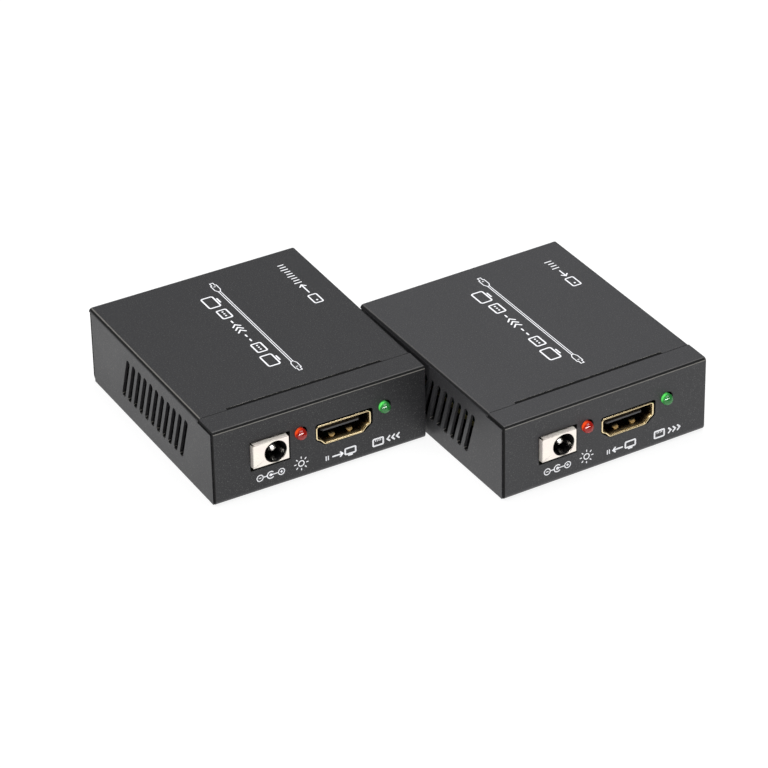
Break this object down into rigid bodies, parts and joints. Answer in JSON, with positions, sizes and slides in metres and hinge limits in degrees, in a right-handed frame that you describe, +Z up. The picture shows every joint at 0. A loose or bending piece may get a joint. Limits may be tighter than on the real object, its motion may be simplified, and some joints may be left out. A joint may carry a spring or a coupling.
{
  "type": "video extender pair",
  "caption": "Pair of small black metal boxes, a transmitter and a receiver, that carry video over a network cable, with power, video and network sockets.",
  "frame": {"origin": "middle of the pair's box, on the table", "axes": "+X to the right along the front panels, +Y to the rear, +Z up"},
  "size_m": [0.1222, 0.1056, 0.0216],
  "materials": {
    "black_coat": "matte fine-grained black powder coat on folded steel sheet",
    "screw_steel": "black zinc-plated screw steel, slightly worn on the edges",
    "spacer_nickel": "nickel-plated steel, satin",
    "solder_mask": "dark green solder mask on glass fibre board, olive cut edges",
    "bright_tin": "bright tin-plated steel",
    "black_plastic": "moulded black nylon, matte",
    "red_lens": "red tinted epoxy, glossy and slightly milky",
    "green_lens": "green tinted epoxy, glossy and slightly milky",
    "gold_plate": "thin gold plating on stamped copper alloy",
    "socket_nickel": "nickel-plated stamped shield",
    "chip_black": "moulded epoxy package, matte",
    "ferrite_grey": "pressed ferrite, dull grey",
    "can_aluminium": "drawn aluminium can",
    "ceramic_tan": "ceramic body with tinned ends"
  },
  "bodies": {
    "root": {"transmitter_cover": "black_coat", "transmitter_chassis": "black_coat", "transmitter_cover_screws": "screw_steel", "transmitter_board_spacers": "spacer_nickel", "transmitter_board_screws": "screw_steel", "transmitter_circuit_board": "solder_mask", "transmitter_power_socket_shell": "bright_tin", "transmitter_power_socket_body": "black_plastic", "transmitter_power_socket_pin": "bright_tin", "transmitter_power_socket_springs": "spacer_nickel", "transmitter_power_light_lens": "red_lens", "transmitter_power_light_leads": "spacer_nickel", "transmitter_video_socket_shell": "gold_plate", "transmitter_video_socket_tongue": "black_plastic", "transmitter_video_socket_contacts": "gold_plate", "transmitter_signal_light_lens": "green_lens", "transmitter_signal_light_leads": "spacer_nickel", "transmitter_network_socket_shell": "socket_nickel", "transmitter_network_socket_body": "black_plastic", "transmitter_network_socket_contacts": "gold_plate", "transmitter_main_chip": "chip_black", "transmitter_video_chip": "chip_black", "transmitter_line_transformer": "chip_black", "transmitter_voltage_regulator": "chip_black", "transmitter_power_inductor": "ferrite_grey", "transmitter_capacitors": "can_aluminium", "transmitter_clock_crystal": "socket_nickel", "transmitter_small_parts": "ceramic_tan", "receiver_cover": "black_coat", "receiver_chassis": "black_coat", "receiver_cover_screws": "screw_steel", "receiver_board_spacers": "spacer_nickel", "receiver_board_screws": "screw_steel", "receiver_circuit_board": "solder_mask", "receiver_power_socket_shell": "bright_tin", "receiver_power_socket_body": "black_plastic", "receiver_power_socket_pin": "bright_tin", "receiver_power_socket_springs": "spacer_nickel", "receiver_power_light_lens": "red_lens", "receiver_power_light_leads": "spacer_nickel", "receiver_video_socket_shell": "gold_plate", "receiver_video_socket_tongue": "black_plastic", "receiver_video_socket_contacts": "gold_plate", "receiver_signal_light_lens": "green_lens", "receiver_signal_light_leads": "spacer_nickel", "receiver_network_socket_shell": "socket_nickel", "receiver_network_socket_body": "black_plastic", "receiver_network_socket_contacts": "gold_plate", "receiver_main_chip": "chip_black", "receiver_video_chip": "chip_black", "receiver_line_transformer": "chip_black", "receiver_voltage_regulator": "chip_black", "receiver_power_inductor": "ferrite_grey", "receiver_capacitors": "can_aluminium", "receiver_clock_crystal": "socket_nickel", "receiver_small_parts": "ceramic_tan"}
  },
  "joints": []
}
